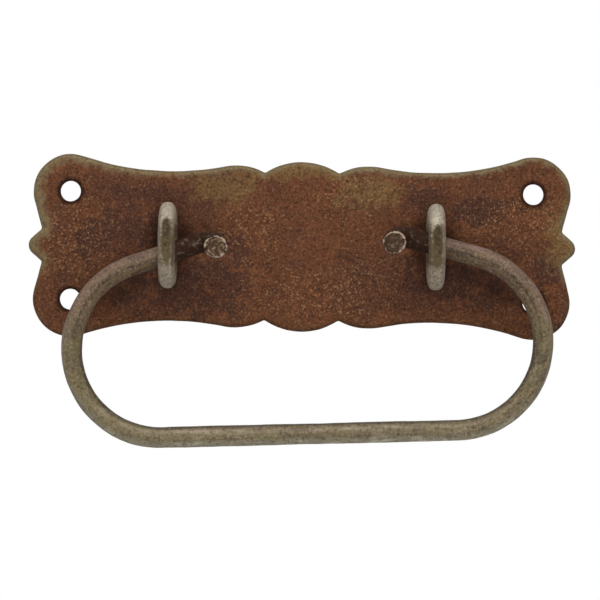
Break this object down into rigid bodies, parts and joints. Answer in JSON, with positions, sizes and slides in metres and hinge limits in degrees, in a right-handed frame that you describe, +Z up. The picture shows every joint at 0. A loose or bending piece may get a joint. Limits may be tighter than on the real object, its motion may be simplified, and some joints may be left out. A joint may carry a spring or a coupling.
{
  "type": "trunk handle",
  "caption": "Drop-bail trunk handle: a scalloped steel back plate with screw holes, ring eyes riveted through it, and a swinging bail of bent rod.",
  "frame": {"origin": "middle of the plate's flat back face, midway between the four screw holes", "axes": "+Z up, +X to the right seen from the front, -Y out of the front towards the hand"},
  "size_m": [0.127, 0.021, 0.0676],
  "materials": {
    "rusted_steel": "matte",
    "antique_steel": "satin",
    "rubbed_steel": "satin"
  },
  "bodies": {
    "plate": {"back_plate": "rusted_steel", "left_eye": "rubbed_steel", "right_eye": "rubbed_steel"},
    "bail": {"bail": "antique_steel"}
  },
  "joints": [
    {"name": "bail_swing", "type": "hinge", "parent": "plate", "child": "bail", "pos_m": [0, -0.0111, 0], "axis": [-1, 0, 0], "range_deg": [-11, 191]}
  ]
}
